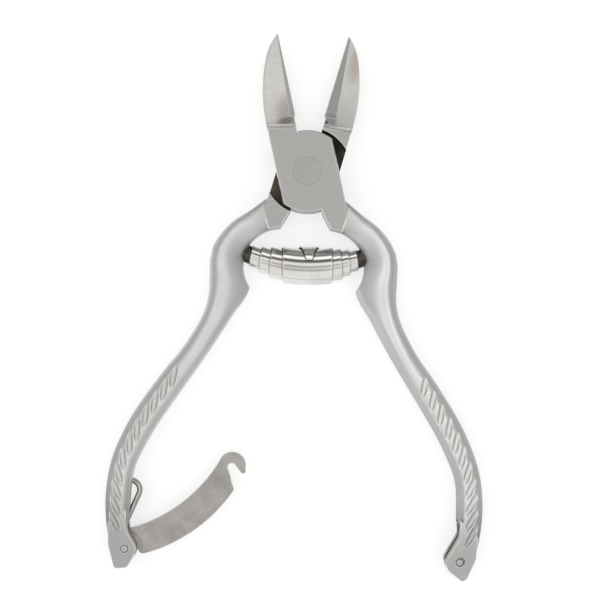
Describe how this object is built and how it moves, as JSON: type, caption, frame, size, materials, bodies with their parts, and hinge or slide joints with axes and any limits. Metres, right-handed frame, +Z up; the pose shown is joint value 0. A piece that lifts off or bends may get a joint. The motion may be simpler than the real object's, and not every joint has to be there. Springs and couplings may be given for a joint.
{
  "type": "nail clipper",
  "caption": "Plier-type nail nipper with lapped levers, hollow-ground jaws, grooved bowed handles, a barrel spring between them and a swinging handle latch.",
  "frame": {"origin": "pivot axis where it meets the flat lower face that the nipper lies on", "axes": "+X from the latch handle to the catch handle, +Y from the pivot towards the jaw tips, +Z up from the table along the pivot axis"},
  "size_m": [0.0942, 0.1347, 0.01],
  "materials": {
    "satin_steel": "satin blasted",
    "rivet_steel": "ground flush",
    "spring_strip": "bright rolled",
    "peg_steel": "turned",
    "latch_steel": "dull rolled",
    "pin_steel": "ground flush",
    "spring_wire": "drawn"
  },
  "bodies": {
    "lower_lever": {"lower_lever": "satin_steel", "pivot_rivet": "rivet_steel", "left_spring_peg": "peg_steel", "barrel_spring": "spring_strip", "latch_pin": "pin_steel", "latch_wire_spring": "spring_wire"},
    "upper_lever": {"upper_lever": "satin_steel", "right_spring_peg": "peg_steel", "catch_pin": "pin_steel"},
    "latch": {"latch_bar": "latch_steel"}
  },
  "joints": [
    {"name": "jaw_pivot", "type": "hinge", "parent": "lower_lever", "child": "upper_lever", "pos_m": [0, 0, 0], "axis": [0, 0, -1], "range_deg": [0, 28.8], "stiffness_Nm_per_rad": 1.5, "springref_deg": -5.73, "deforming": ["barrel_spring"]},
    {"name": "latch_hinge", "type": "hinge", "parent": "lower_lever", "child": "latch", "pos_m": [-0.04159, -0.09525, 0.005], "axis": [0, 0, 1], "range_deg": [-53.7, 18]}
  ]
}
